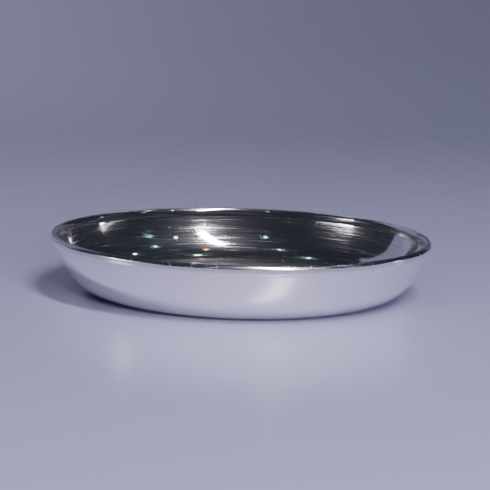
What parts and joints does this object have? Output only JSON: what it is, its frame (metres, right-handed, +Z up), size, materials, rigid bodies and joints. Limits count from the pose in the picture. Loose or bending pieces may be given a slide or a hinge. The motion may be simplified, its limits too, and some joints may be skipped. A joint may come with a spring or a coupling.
{
  "type": "offering plate",
  "caption": "Shallow round offering plate, spun from silver-plated sheet, with a half-oval wire soldered round its rim, to hold small offerings.",
  "frame": {"origin": "middle of the flat underside that the plate stands on", "axes": "+Z up along the plate's axis of rotation; the plate is the same all the way round, so X and Y are any two level directions"},
  "size_m": [0.127, 0.127, 0.0193],
  "materials": {
    "dish_silver": "polished",
    "rim_silver": "polished"
  },
  "bodies": {
    "root": {"dish_shell": "dish_silver", "rim_wire": "rim_silver"}
  },
  "joints": []
}
